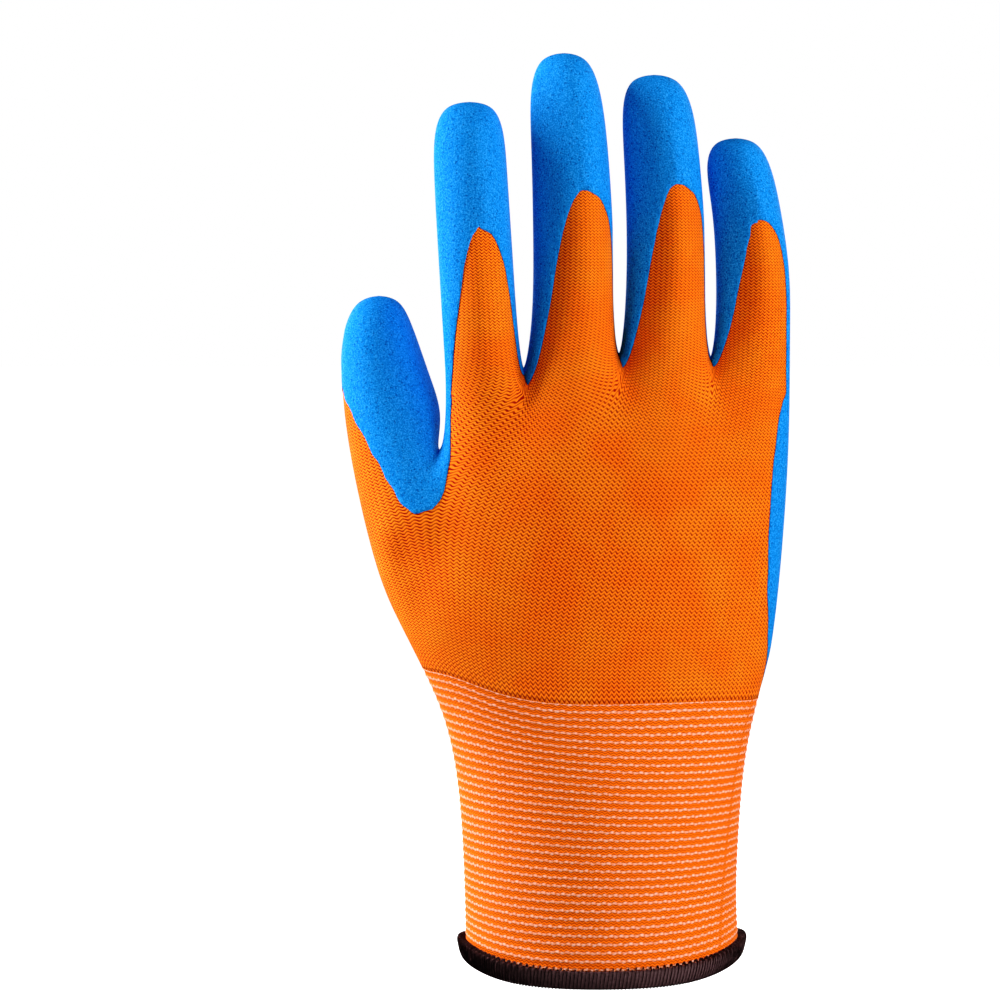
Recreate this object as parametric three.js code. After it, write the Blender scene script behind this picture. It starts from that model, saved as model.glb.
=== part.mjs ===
// A knitted work glove with a foam-dipped palm, in the form that it has on a right hand.
// Millimetres. The origin is the centre of the wrist opening, +Z runs to the fingertips, +X to the
// little finger and -Y out of the back of the hand, so the thumb stands at -X.
//
// The hand is drawn as a coarse cage of four-sided faces, rounded by Catmull-Clark subdivision. Every
// corner of the cage also carries a place on the knitting: u counts cage columns round a tube and v
// counts cage rows along it. The edge of the dip is drawn in those two numbers.
import * as THREE from 'three';

// Fabric and dip
const LINER_WALL = 1.1;
const CUFF_WALL = 1.5;
const COAT_WALL = 0.7;
const COAT_CLEARANCE = 0.2; // between the liner's face and the dip's skin
const SEAM_CLEARANCE = 0.3; // between pieces that meet edge to edge
const THUMB_ROOT_ASIDE = -0.6; // keeps the inside of the thumb's root clear of the body in the web
const HEM_HEIGHT = 5.0;
const HEM_THICKNESS = 3.2;
const HEM_SIDES = 8;
const HEM_OUTSET = 1.1; // of the hem's middle line past the middle of the cuff's wall
const HEM_LEAN = 0.25; // how far its top stands out past its foot, for each mm of height
const HEM_SQUARENESS = 0.72; // 0 is a round section and 1 a square one

// Finishes
const ORANGE_KNIT = { color: 0xe9660d, roughness: 0.85 };
const STRIPED_KNIT = { color: 0xf08a4a, roughness: 0.9 };
const BLUE_FOAM = { color: 0x0a84e6, roughness: 0.7 };
const DARK_THREAD = { color: 0x261a1b, roughness: 0.95 };

// Cage sizes
const SLEEVE_COLUMNS = 20;
const STALL_COLUMNS = 8;
const SMOOTHING_LEVELS = 1;

// Half widths are those of the finished surface. A ring of n cage points shrinks by this much when
// it is rounded, so its cage is drawn larger.
const roundingGain = (n) => 3 / (2 + Math.cos((2 * Math.PI) / n));

// The sleeve from the cut edge of the cuff to the crotches of the fingers, one row per cage ring.
// rise lifts the thumb side and lowers the other, dip drops the back and the palm below the sides,
// flat keeps that drop level over more of the width, bend gives the row its wavy run over the back,
// and thenar, hypothenar and knuckle swell the ball of the thumb, the heel of the hand and the knuckles.
const SLEEVE_FIELDS = [
  'name', 'z', 'left', 'right', 'back', 'palm', 'rise', 'dip', 'thenar', 'hypothenar', 'knuckle',
  'flat', 'bend',
];
const SLEEVE = [
  ['cut_edge', 8.5, -36.6, 37.0, 24.8, 24.8, -0.4, 4.2, 0, 0, 0, 1, 0],
  ['cuff_low', 22.5, -36.9, 36.3, 24.2, 24.4, 0, 1.0, 0, 0, 0, 0.5, 0],
  ['cuff_mid', 44.5, -37.9, 37.3, 23.2, 24.4, 1.6, 0.6, 0, 0, 0, 0, 0],
  ['cuff_top', 63.5, -41.0, 38.8, 21.8, 24.5, 3.4, 1.6, 1, 0.5, 0, 0, 0],
  ['first_course', 78.5, -48.6, 42.2, 20.2, 24.5, 4.6, 3.2, 3, 1, 0, 0, 1],
  ['heel', 91.5, -54.5, 45.5, 18.6, 23.5, 3, 2, 5, 2, 0, 0, 0],
  ['thumb_root', 114.5, -47, 47.9, 17, 19, 1, 0, 5, 2, 0, 0, 0],
  ['web', 139.5, -41.8, 49.4, 15.6, 15.8, 0, 0, 1, 0.5, 0.8, 0, 0],
  ['crotch', 156.5, -41.0, 49.6, 13, 13.4, 0, 0, 0, 0, 0.6, 0, 0],
].map((row) => Object.fromEntries(row.map((value, index) => [SLEEVE_FIELDS[index], value])));
const ROW = Object.fromEntries(SLEEVE.map((row, index) => [row.name, index]));

// Where two fingers part: x of the gap, and heights of the crotch on the back, in the middle and on the palm
const CROTCH_PINCH = 0.8; // how thick the hand is at a gap, against the fingers beside it
const CROTCHES = [
  { x: -21, back: 152, middle: 156.5, palm: 157.5 },
  { x: 4.6, back: 157, middle: 161.5, palm: 162.5 },
  { x: 28.9, back: 157.5, middle: 161, palm: 161.5 },
];

// Finger stalls, one row per cage ring: centre, half width and half depth
const FINGERS = [
  {
    name: 'index',
    rings: [
      { z: 171.5, x: -32.6, y: 0.6, wide: 9.4, deep: 9.6 },
      { z: 191.5, x: -33.8, y: 1.8, wide: 9.4, deep: 9.3 },
      { z: 213.5, x: -35.2, y: 4, wide: 9.3, deep: 8.8 },
      { z: 227.2, x: -35.7, y: 6.2, wide: 9, deep: 8.2 },
      { z: 233.4, x: -35.5, y: 7.4, wide: 5.2, deep: 4.6 },
    ],
  },
  {
    name: 'middle',
    rings: [
      { z: 174.5, x: -7.6, y: 0, wide: 10.3, deep: 10.2 },
      { z: 196.5, x: -7.6, y: 1.8, wide: 10.2, deep: 9.8 },
      { z: 221.5, x: -8.6, y: 5, wide: 9.7, deep: 9.2 },
      { z: 238.3, x: -10, y: 7.8, wide: 9.1, deep: 8.3 },
      { z: 246.6, x: -10.3, y: 9.2, wide: 5.2, deep: 4.6 },
    ],
  },
  {
    name: 'ring',
    rings: [
      { z: 174.5, x: 16.9, y: 0.8, wide: 10.2, deep: 10.0 },
      { z: 195.5, x: 17.35, y: 2.7, wide: 9.95, deep: 9.6 },
      { z: 217.5, x: 16.15, y: 5.8, wide: 9.55, deep: 9.1 },
      { z: 233.3, x: 14.8, y: 8.5, wide: 9.2, deep: 8.1 },
      { z: 240.8, x: 13.9, y: 9.9, wide: 5.4, deep: 4.6 },
    ],
  },
  {
    name: 'little',
    rings: [
      { z: 171.5, x: 40.4, y: 2.4, wide: 9.3, deep: 9 },
      { z: 187.5, x: 40.65, y: 3.8, wide: 9.35, deep: 8.8 },
      { z: 204.5, x: 39, y: 6, wide: 8.5, deep: 8.2 },
      { z: 217.5, x: 36.35, y: 8, wide: 8.45, deep: 7.8 },
      { z: 223.8, x: 35.8, y: 9.2, wide: 4.7, deep: 4.3 },
    ],
  },
];

// The thumb stall leaves the side of the sleeve and turns upwards: lean is the angle of its run from upright
const THUMB = {
  name: 'thumb',
  rings: [
    { z: 122.5, x: -53, y: 9, wide: 18.5, deep: 14.5, lean: 66 },
    { z: 141.5, x: -55.2, y: 13, wide: 14.6, deep: 12.8, lean: 34 },
    { z: 157, x: -58.8, y: 16.5, wide: 12.1, deep: 11.8, lean: 12 },
    { z: 172.5, x: -60.9, y: 19.6, wide: 9.4, deep: 10, lean: 3 },
    { z: 181.5, x: -60.4, y: 21, wide: 5, deep: 5, lean: 0 },
  ],
};

// The fingers' backs are turned to the right. How far, for each finger and for each ring along it, and
// where a fully turned ring moves its corners, in half widths and half depths.
const TURNED = { index: 0.3, middle: 1, ring: 1, little: 1, thumb: 0 };
const TURNED_ALONG = [0.5, 1, 1, 0.8, 0.4];
const TURNED_CORNERS = {
  7: { aside: -0.04, back: 0 },
  0: { aside: 0.157, back: 0.257 },
  1: { aside: 0.25, back: -0.08 },
};

// Cage

const columnAngle = (column) => (column * 2 * Math.PI) / SLEEVE_COLUMNS;

// How much of a swelling each sleeve column takes, by column number from the thumb edge over the back
const THENAR_SHARE = { 19: 0.7, 18: 1, 17: 0.6, 16: 0.2 };
const HYPOTHENAR_SHARE = { 11: 0.5, 12: 1, 13: 0.6, 14: 0.2 };
const KNUCKLE_SHARE = { 2: 1, 3: -1, 4: 1, 5: -1, 6: 1, 7: -1, 8: 1 };
const BEND_SHARE = { 2: 1.5, 3: -1.6, 4: -3, 5: -1.1, 6: 0.7, 7: 1.6, 8: 1.2 };

function sleevePoint(row, column) {
  const angle = columnAngle(column);
  const gain = roundingGain(SLEEVE_COLUMNS);
  const centre = (row.left + row.right) / 2;
  const half = ((row.right - row.left) / 2) * gain;
  const across = -Math.cos(angle);
  const depth = Math.sin(angle);
  const onPalm = depth < 0;
  const y = -depth * (onPalm ? row.palm : row.back) * gain;
  const share = (shares) => shares[column] ?? 0;
  const swelling = row.thenar * share(THENAR_SHARE) + row.hypothenar * share(HYPOTHENAR_SHARE);
  const knuckle = row.knuckle * share(KNUCKLE_SHARE);
  const drop = row.dip * depth ** 2 * (1 + row.flat * across ** 2);
  const z = row.z - row.rise * across - drop + row.bend * share(BEND_SHARE);
  return new THREE.Vector3(centre + across * half, y + swelling - knuckle, z);
}

// A stall ring's eight points run from the left of its back, over the back and round by the palm
function stallPoints(ring, turned) {
  const gain = roundingGain(STALL_COLUMNS);
  const lean = THREE.MathUtils.degToRad(ring.lean ?? 0);
  const right = new THREE.Vector3(Math.cos(lean), 0, Math.sin(lean));
  const points = [];
  for (let k = 0; k < STALL_COLUMNS; k += 1) {
    const angle = ((k - 3) * 2 * Math.PI) / STALL_COLUMNS;
    const { aside, back } = TURNED_CORNERS[k] ?? { aside: 0, back: 0 };
    const point = new THREE.Vector3(ring.x, ring.y, ring.z);
    point.addScaledVector(right, (Math.cos(angle) + aside * turned) * ring.wide * gain);
    point.y += (Math.sin(angle) + back * turned) * ring.deep * gain;
    points.push(point);
  }
  return points;
}

class Cage {
  constructor() {
    this.points = [];
    this.faces = []; // { part, corners: [{ point, u, v }] }
  }

  add(point) {
    this.points.push(point);
    return this.points.length - 1;
  }

  // A band of faces between two closed loops of the same length, the second farther along the tube
  band(part, low, high, v, skip = () => false) {
    const n = low.length;
    for (let k = 0; k < n; k += 1) {
      if (skip(k)) continue;
      const next = (k + 1) % n;
      this.faces.push({
        part,
        corners: [
          { point: low[k], u: k, v },
          { point: low[next], u: k + 1, v },
          { point: high[next], u: k + 1, v: v + 1 },
          { point: high[k], u: k, v: v + 1 },
        ],
      });
    }
  }

  // A closed stall on an open loop: one band per ring and a cap
  stall(part, base, rings) {
    let loop = base;
    rings.forEach((ring, index) => {
      const turned = TURNED[part] * TURNED_ALONG[index];
      const next = stallPoints(ring, turned).map((point) => this.add(point));
      this.band(part, loop, next, index);
      loop = next;
    });
    const v = rings.length;
    this.faces.push({ part, corners: loop.map((point, k) => ({ point, u: k, v })) });
  }
}

function buildCage() {
  const cage = new Cage();
  const columns = [...Array(SLEEVE_COLUMNS).keys()];
  const isHoleMiddle = (row, column) => row.name === 'thumb_root' && column === 0;
  const rows = SLEEVE.map((row) =>
    columns.map((column) => (isHoleMiddle(row, column) ? null : cage.add(sleevePoint(row, column)))),
  );

  // The crotch row follows the gaps between the fingers
  const top = rows[ROW.crotch];
  const backColumn = (gap) => 3 + 2 * gap;
  const palmColumn = (gap) => 17 - 2 * gap;
  const middles = CROTCHES.map((crotch, gap) => {
    const back = cage.points[top[backColumn(gap)]];
    const palm = cage.points[top[palmColumn(gap)]];
    back.set(crotch.x, back.y * CROTCH_PINCH, crotch.back);
    palm.set(crotch.x, palm.y * CROTCH_PINCH, crotch.palm);
    return cage.add(new THREE.Vector3(crotch.x, (back.y + palm.y) / 2, crotch.middle));
  });

  // The thumb's hole takes the two columns at the thumb edge over two bands
  const isThumbHole = (row, column) =>
    row >= ROW.heel && row < ROW.web && (column === 0 || column === SLEEVE_COLUMNS - 1);
  for (let row = 0; row < ROW.crotch; row += 1) {
    const part = row < ROW.first_course ? 'cuff' : 'palm';
    cage.band(part, rows[row], rows[row + 1], row, (column) => isThumbHole(row, column));
  }

  FINGERS.forEach((finger, index) => {
    const leftSide = index === 0 ? top[0] : middles[index - 1];
    const rightSide = index === FINGERS.length - 1 ? top[10] : middles[index];
    const back = [1, 2, 3].map((step) => top[step + 2 * index]);
    const palm = [17, 18, 19].map((step) => top[step - 2 * index]);
    cage.stall(finger.name, [...back, rightSide, ...palm, leftSide], finger.rings);
  });

  const [low, mid, high] = [rows[ROW.heel], rows[ROW.thumb_root], rows[ROW.web]];
  const thumbBase = [low[1], mid[1], high[1], high[0], high[19], mid[19], low[19], low[0]];
  cage.stall(THUMB.name, thumbBase, THUMB.rings);
  return cage;
}

// Subdivision

const edgeKey = (a, b) => (a < b ? `${a}_${b}` : `${b}_${a}`);

function averageOf(points) {
  const sum = new THREE.Vector3();
  points.forEach((point) => sum.add(point));
  return sum.divideScalar(points.length);
}

// Which faces and edges meet at each point and edge
function adjacency(mesh) {
  const edges = new Map();
  const around = mesh.points.map(() => ({ faces: [], edges: new Set() }));
  mesh.faces.forEach((face, index) => {
    const n = face.corners.length;
    face.corners.forEach((corner, k) => {
      const a = corner.point;
      const b = face.corners[(k + 1) % n].point;
      const key = edgeKey(a, b);
      if (!edges.has(key)) edges.set(key, { a, b, faces: [] });
      edges.get(key).faces.push(index);
      around[a].faces.push(index);
      around[a].edges.add(key);
      around[b].edges.add(key);
    });
  });
  return { edges, around };
}

function subdivide(mesh) {
  const { edges, around } = adjacency(mesh);
  const points = [];
  const add = (point) => points.push(point) - 1;
  const facePoint = mesh.faces.map((face) => averageOf(face.corners.map((c) => mesh.points[c.point])));
  const isBoundary = (edge) => edge.faces.length === 1;

  mesh.points.forEach((point, index) => {
    const touching = [...around[index].edges].map((key) => edges.get(key));
    const other = (edge) => mesh.points[edge.a === index ? edge.b : edge.a];
    const rim = touching.filter(isBoundary);
    if (rim.length > 0) {
      const ends = averageOf(rim.map(other));
      add(point.clone().multiplyScalar(0.75).addScaledVector(ends, 0.25));
      return;
    }
    const n = touching.length;
    const faces = averageOf(around[index].faces.map((f) => facePoint[f]));
    const mids = averageOf(touching.map((edge) => averageOf([point, other(edge)])));
    const moved = point.clone().multiplyScalar(n - 3).add(faces).addScaledVector(mids, 2);
    add(moved.divideScalar(n));
  });
  const faceIndex = facePoint.map(add);
  const edgeIndex = new Map();
  edges.forEach((edge, key) => {
    const ends = [mesh.points[edge.a], mesh.points[edge.b]];
    const beside = isBoundary(edge) ? [] : edge.faces.map((f) => facePoint[f]);
    const middle = averageOf([...ends, ...beside]);
    edgeIndex.set(key, add(middle));
  });

  const faces = [];
  mesh.faces.forEach((face, index) => {
    const n = face.corners.length;
    const centre = {
      point: faceIndex[index],
      u: face.corners.reduce((sum, c) => sum + c.u, 0) / n,
      v: face.corners.reduce((sum, c) => sum + c.v, 0) / n,
    };
    const halfway = (a, b) => {
      const point = edgeIndex.get(edgeKey(a.point, b.point));
      return { point, u: (a.u + b.u) / 2, v: (a.v + b.v) / 2 };
    };
    face.corners.forEach((corner, k) => {
      const next = face.corners[(k + 1) % n];
      const last = face.corners[(k + n - 1) % n];
      const corners = [corner, halfway(corner, next), centre, halfway(last, corner)];
      faces.push({ part: face.part, corners });
    });
  });
  return { points, faces };
}

// Moves each point of a four-sided mesh to where endless subdivision would take it
function toLimit(mesh) {
  const { edges, around } = adjacency(mesh);
  const points = mesh.points.map((point, index) => {
    const touching = [...around[index].edges].map((key) => edges.get(key));
    const other = (edge) => (edge.a === index ? edge.b : edge.a);
    const rim = touching.filter((edge) => edge.faces.length === 1);
    if (rim.length > 0) {
      const limit = point.clone().multiplyScalar(4);
      rim.forEach((edge) => limit.add(mesh.points[other(edge)]));
      return limit.divideScalar(6);
    }
    const n = touching.length;
    const limit = point.clone().multiplyScalar(n * n);
    touching.forEach((edge) => limit.addScaledVector(mesh.points[other(edge)], 4));
    around[index].faces.forEach((f) => {
      const corners = mesh.faces[f].corners;
      const at = corners.findIndex((corner) => corner.point === index);
      limit.add(mesh.points[corners[(at + 2) % corners.length].point]);
    });
    return limit.divideScalar(n * (n + 5));
  });
  return { points, faces: mesh.faces };
}

function withNormals(mesh) {
  const normals = mesh.points.map(() => new THREE.Vector3());
  mesh.faces.forEach((face) => {
    const [a, b, c, d] = face.corners.map((corner) => mesh.points[corner.point]);
    const normal = new THREE.Vector3().crossVectors(c.clone().sub(a), d.clone().sub(b));
    face.corners.forEach((corner) => normals[corner.point].add(normal));
  });
  normals.forEach((normal) => normal.normalize());
  return { ...mesh, normals };
}

function triangulated(mesh) {
  const faces = mesh.faces.flatMap(({ part, corners }) =>
    corners.slice(2).map((corner, k) => ({ part, corners: [corners[0], corners[k + 1], corner] })),
  );
  return { ...mesh, faces };
}

let smooth = buildCage();
for (let level = 0; level < SMOOTHING_LEVELS; level += 1) smooth = subdivide(smooth);
const skin = triangulated(withNormals(toLimit(smooth)));

// Walls

// A closed wall on some faces of a surface, from outward to inward of it along the normals.
// shifts draws the points of an open edge back from the piece that it meets there, and aside moves
// the inner ones of them along x as well.
function wall(surface, keep, outward, inward, shifts = new Map(), aside = 0) {
  const faces = surface.faces.filter(keep);
  const index = new Map();
  const positions = [];
  const place = (point, side) => {
    const key = `${point}_${side}`;
    if (!index.has(key)) {
      const moved = surface.points[point].clone();
      moved.addScaledVector(surface.normals[point], side > 0 ? outward : -inward);
      if (shifts.has(point)) {
        moved.add(shifts.get(point));
        if (side < 0) moved.x += aside;
      }
      index.set(key, positions.length / 3);
      positions.push(moved.x, moved.y, moved.z);
    }
    return index.get(key);
  };
  const triangles = [];
  const polygon = (corners) => {
    for (let k = 1; k < corners.length - 1; k += 1) triangles.push(corners[0], corners[k], corners[k + 1]);
  };
  const open = new Map();
  faces.forEach((face) => {
    const ids = face.corners.map((corner) => corner.point);
    polygon(ids.map((id) => place(id, 1)));
    polygon(ids.map((id) => place(id, -1)).reverse());
    ids.forEach((id, k) => {
      const next = ids[(k + 1) % ids.length];
      const key = edgeKey(id, next);
      if (open.has(key)) open.delete(key);
      else open.set(key, [id, next]);
    });
  });
  open.forEach(([a, b]) => polygon([place(b, 1), place(a, 1), place(a, -1), place(b, -1)]));
  const geometry = new THREE.BufferGeometry();
  geometry.setAttribute('position', new THREE.Float32BufferAttribute(positions, 3));
  geometry.setIndex(triangles);
  geometry.computeVertexNormals();
  return geometry;
}

// How far the open edge of a piece at one cage row is drawn back along the piece
function drawnBack(part, edgeRow) {
  const shifts = new Map();
  skin.faces.filter((face) => face.part === part).forEach(({ corners }) => {
    corners.forEach((edge) => {
      const inner = corners.find((corner) => corner.u === edge.u && corner.v !== edge.v);
      if (edge.v !== edgeRow || !inner) return;
      const along = skin.points[inner.point].clone().sub(skin.points[edge.point]);
      shifts.set(edge.point, along.setLength(SEAM_CLEARANCE));
    });
  });
  return shifts;
}

// The dip's edge

// Between the named rows of a table, by straight lines
function readTable(table, at, column) {
  const last = table.findIndex((row) => row.v >= at);
  if (last === 0) return table[0][column];
  if (last < 0) return table.at(-1)[column];
  const [a, b] = [table[last - 1], table[last]];
  return a[column] + ((b[column] - a[column]) * (at - a.v)) / (b.v - a.v);
}

// On the sleeve the dip covers the columns from the little finger's edge, round the palm, to the thumb's
const DIP_ON_SLEEVE = [
  { v: 2.06, from: 14.3, to: 16.2 },
  { v: 2.2, from: 13.2, to: 16.5 },
  { v: 2.4, from: 12.5, to: 16.9 },
  { v: 2.8, from: 11.4, to: 17.8 },
  { v: 3.1, from: 10.9, to: 18.9 },
  { v: 3.9, from: 10.3, to: 19.2 },
  { v: 4.6, from: 9.8, to: 19.4 },
  { v: 5, from: 9.33, to: 19.45 },
  { v: 5.6, from: 8.87, to: 20 },
  { v: 6.3, from: 8.65, to: 21.1 },
  { v: 7, from: 8.68, to: 20.9 },
  { v: 7.7, from: 8.9, to: 20.5 },
  { v: 8, from: 9.2, to: 20.5 },
];

// On each stall an arch of bare knit: its crown, its middle column, and how far it spreads to either side.
// A shape of 1 is a parabola, and a higher one is straighter sided.
const BARE_ARCHES = {
  index: { crown: 2.37, centre: 1.2, left: 1.57, leftShape: 0.95, right: 1.42, rightShape: 2.8 },
  middle: { crown: 2.54, centre: 1.1, left: 1.2, leftShape: 2.2, right: 2, rightShape: 5 },
  ring: { crown: 2.75, centre: 1.05, left: 1.33, leftShape: 1.2, right: 1.9, rightShape: 7 },
  little: { crown: 2.89, centre: 1.05, left: 1.5, leftShape: 0.85, right: 1.4, rightShape: 7 },
  thumb: { crown: 3.12, centre: 7, left: 0.9, leftShape: 2, right: 2.5, rightShape: 0.95 },
};

// Over zero where the knit is dipped, under zero where it is bare
function dipDepth(part, u, v) {
  if (part === 'cuff' || part === 'palm') {
    const around = u < SLEEVE_COLUMNS / 4 ? u + SLEEVE_COLUMNS : u;
    const fromEdge = around - readTable(DIP_ON_SLEEVE, v, 'from');
    const toEdge = readTable(DIP_ON_SLEEVE, v, 'to') - around;
    return Math.min(v - DIP_ON_SLEEVE[0].v, fromEdge, toEdge);
  }
  const arch = BARE_ARCHES[part];
  const halfTurn = STALL_COLUMNS / 2;
  const turn = ((u - arch.centre + STALL_COLUMNS + halfTurn) % STALL_COLUMNS) - halfTurn;
  const [spread, shape] = turn < 0 ? [arch.left, arch.leftShape] : [arch.right, arch.rightShape];
  return (turn / spread) ** 2 + (v / arch.crown) ** shape - 1;
}

// Cuts a surface along the zero line of a value at its points, and keeps the positive side
function cutSurface(surface, values) {
  const points = [...surface.points];
  const normals = [...surface.normals];
  const crossings = new Map();
  const crossing = (a, b) => {
    const key = edgeKey(a, b);
    if (!crossings.has(key)) {
      const t = values[a] / (values[a] - values[b]);
      points.push(surface.points[a].clone().lerp(surface.points[b], t));
      normals.push(surface.normals[a].clone().lerp(surface.normals[b], t).normalize());
      crossings.set(key, points.length - 1);
    }
    return crossings.get(key);
  };
  const faces = [];
  surface.faces.forEach((face) => {
    const ids = face.corners.map((corner) => corner.point);
    const kept = [];
    ids.forEach((id, k) => {
      const next = ids[(k + 1) % ids.length];
      if (values[id] > 0) kept.push(id);
      if (values[id] > 0 !== values[next] > 0) kept.push(crossing(id, next));
    });
    if (kept.length > 2) faces.push({ part: face.part, corners: kept.map((point) => ({ point })) });
  });
  return { points, normals, faces };
}

const dipValues = skin.points.map(() => null);
skin.faces.forEach((face) => {
  face.corners.forEach((corner) => {
    const value = dipDepth(face.part, corner.u, corner.v);
    const held = dipValues[corner.point];
    dipValues[corner.point] = held === null ? value : Math.min(held, value);
  });
});
// A point this close to the line is pushed off it, so that no sliver is cut
const SNAP = 0.06;
const snapped = dipValues.map((value) => (Math.abs(value) < SNAP ? SNAP * (value < 0 ? -1 : 1) : value));

// Hem: a rounded band that follows the cut edge of the cuff
function hemGeometry() {
  const edge = skin.faces
    .filter((face) => face.part === 'cuff')
    .flatMap((face) => face.corners)
    .filter((corner) => corner.v === 0)
    .map((corner) => corner.point);
  const loop = [...new Set(edge)].sort((a, b) => {
    const angle = (id) => Math.atan2(skin.points[id].y, skin.points[id].x);
    return angle(a) - angle(b);
  });
  const positions = [];
  const triangles = [];
  loop.forEach((id) => {
    const out = skin.normals[id].clone().setZ(0).normalize();
    const centre = skin.points[id].clone().addScaledVector(out, HEM_OUTSET - CUFF_WALL / 2);
    centre.z -= SEAM_CLEARANCE + HEM_HEIGHT / 2;
    for (let side = 0; side < HEM_SIDES; side += 1) {
      const angle = ((side + 0.5) * 2 * Math.PI) / HEM_SIDES;
      const square = Math.max(Math.abs(Math.cos(angle)), Math.abs(Math.sin(angle)));
      const swell = HEM_SQUARENESS / square + 1 - HEM_SQUARENESS;
      const tall = (Math.sin(angle) * swell * HEM_HEIGHT) / 2;
      const wide = (Math.cos(angle) * swell * HEM_THICKNESS) / 2 + HEM_LEAN * tall;
      const point = centre.clone().addScaledVector(out, wide);
      point.z += tall;
      positions.push(point.x, point.y, point.z);
    }
  });
  const at = (ring, side) => (ring % loop.length) * HEM_SIDES + (side % HEM_SIDES);
  for (let ring = 0; ring < loop.length; ring += 1) {
    for (let side = 0; side < HEM_SIDES; side += 1) {
      triangles.push(at(ring, side), at(ring + 1, side), at(ring + 1, side + 1));
      triangles.push(at(ring, side), at(ring + 1, side + 1), at(ring, side + 1));
    }
  }
  const geometry = new THREE.BufferGeometry();
  geometry.setAttribute('position', new THREE.Float32BufferAttribute(positions, 3));
  geometry.setIndex(triangles);
  geometry.computeVertexNormals();
  return geometry;
}

const group = new THREE.Group();
const addMesh = (name, geometry, finish) => {
  const mesh = new THREE.Mesh(geometry, new THREE.MeshStandardMaterial({ ...finish, metalness: 0 }));
  mesh.name = name;
  group.add(mesh);
};

const isPart = (part) => (face) => face.part === part;
addMesh('knit_body', wall(skin, isPart('palm'), 0, LINER_WALL), ORANGE_KNIT);
[...FINGERS, THUMB].forEach(({ name }) => {
  const aside = name === THUMB.name ? THUMB_ROOT_ASIDE : 0;
  addMesh(`${name}_stall`, wall(skin, isPart(name), 0, LINER_WALL, drawnBack(name, 0), aside), ORANGE_KNIT);
});
const cuffTop = drawnBack('cuff', ROW.first_course);
addMesh('knit_cuff', wall(skin, isPart('cuff'), 0, CUFF_WALL, cuffTop), STRIPED_KNIT);
const dipped = cutSurface(skin, snapped);
addMesh('palm_coating', wall(dipped, () => true, COAT_CLEARANCE + COAT_WALL, -COAT_CLEARANCE), BLUE_FOAM);
addMesh('cuff_hem', hemGeometry(), DARK_THREAD);

export default group;
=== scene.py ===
import math
from functools import partial

import bmesh
import bpy
from mathutils import Matrix, Vector


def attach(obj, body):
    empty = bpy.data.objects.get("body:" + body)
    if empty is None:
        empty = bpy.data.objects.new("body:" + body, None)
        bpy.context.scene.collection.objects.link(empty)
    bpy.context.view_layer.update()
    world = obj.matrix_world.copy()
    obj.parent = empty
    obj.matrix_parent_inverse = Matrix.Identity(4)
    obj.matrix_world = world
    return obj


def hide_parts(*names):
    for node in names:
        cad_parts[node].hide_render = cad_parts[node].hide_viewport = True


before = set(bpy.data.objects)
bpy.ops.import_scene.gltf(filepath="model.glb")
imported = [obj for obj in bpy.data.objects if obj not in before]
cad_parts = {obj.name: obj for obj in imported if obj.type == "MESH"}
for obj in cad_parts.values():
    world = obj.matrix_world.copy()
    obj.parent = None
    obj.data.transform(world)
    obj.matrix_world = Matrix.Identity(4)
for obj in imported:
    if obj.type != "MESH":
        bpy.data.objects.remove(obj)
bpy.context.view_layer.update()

# A right-hand work glove: a knitted liner with an elastic cuff, an overlocked hem and a foam-dipped palm.
# Shapes are drawn in millimetres, as the glove's tables give them, and brought to metres in add_piece.
# +Z runs to the fingertips, +X to the little finger and -Y out of the back of the hand.
MILLIMETRE = 0.001

# Fabric and dip, in mm
LINER_WALL = 1.1
CUFF_WALL = 1.3
FOAM_PROUD = 0.55
FOAM_SUNK = 0.1

# At its edge the dip thins out to a share of its thickness, over this much of a cage column
EDGE_THICKNESS = 0.3
FOAM_TAPER = 0.35
# The edge waves in and out at the stitches: by how much of a column, and how fast along columns and rows
EDGE_STEP = 0.012
EDGE_WAVES = (57.3, 91.7)
# Corners nearer to the edge than this share of a column count as lying this far off it, so no sliver is cut
EDGE_CLEARANCE = 0.012

# Knitting: a wale is a column of stitches and a course is a row of them. Wales round the hand, and in mm the
# height of a course on the fingers, and of a rib of covered rubber in the cuff
WALES_ROUND = 166
FINGER_COURSE = 0.82
RIB = 2.05
# The cuff's skin lies this far out of its cage's form, in mm, between two ribs and on a rib
RIB_FOOT = -0.18
RIB_CREST = 0.09
# Wales at the cuff's sides, where no pale rubber shows
PLAIN_WALES = (75.0, 158.0)

# The cage is drawn coarse and rounded by this many subdivisions. Column 0 of the sleeve is the thumb's edge,
# and its columns run over the back to the little finger's edge and on round the palm.
SMOOTHING = 3
SLEEVE_COLUMNS = 20
HALF_ROUND = SLEEVE_COLUMNS // 2
STALL_COLUMNS = 8

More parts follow.
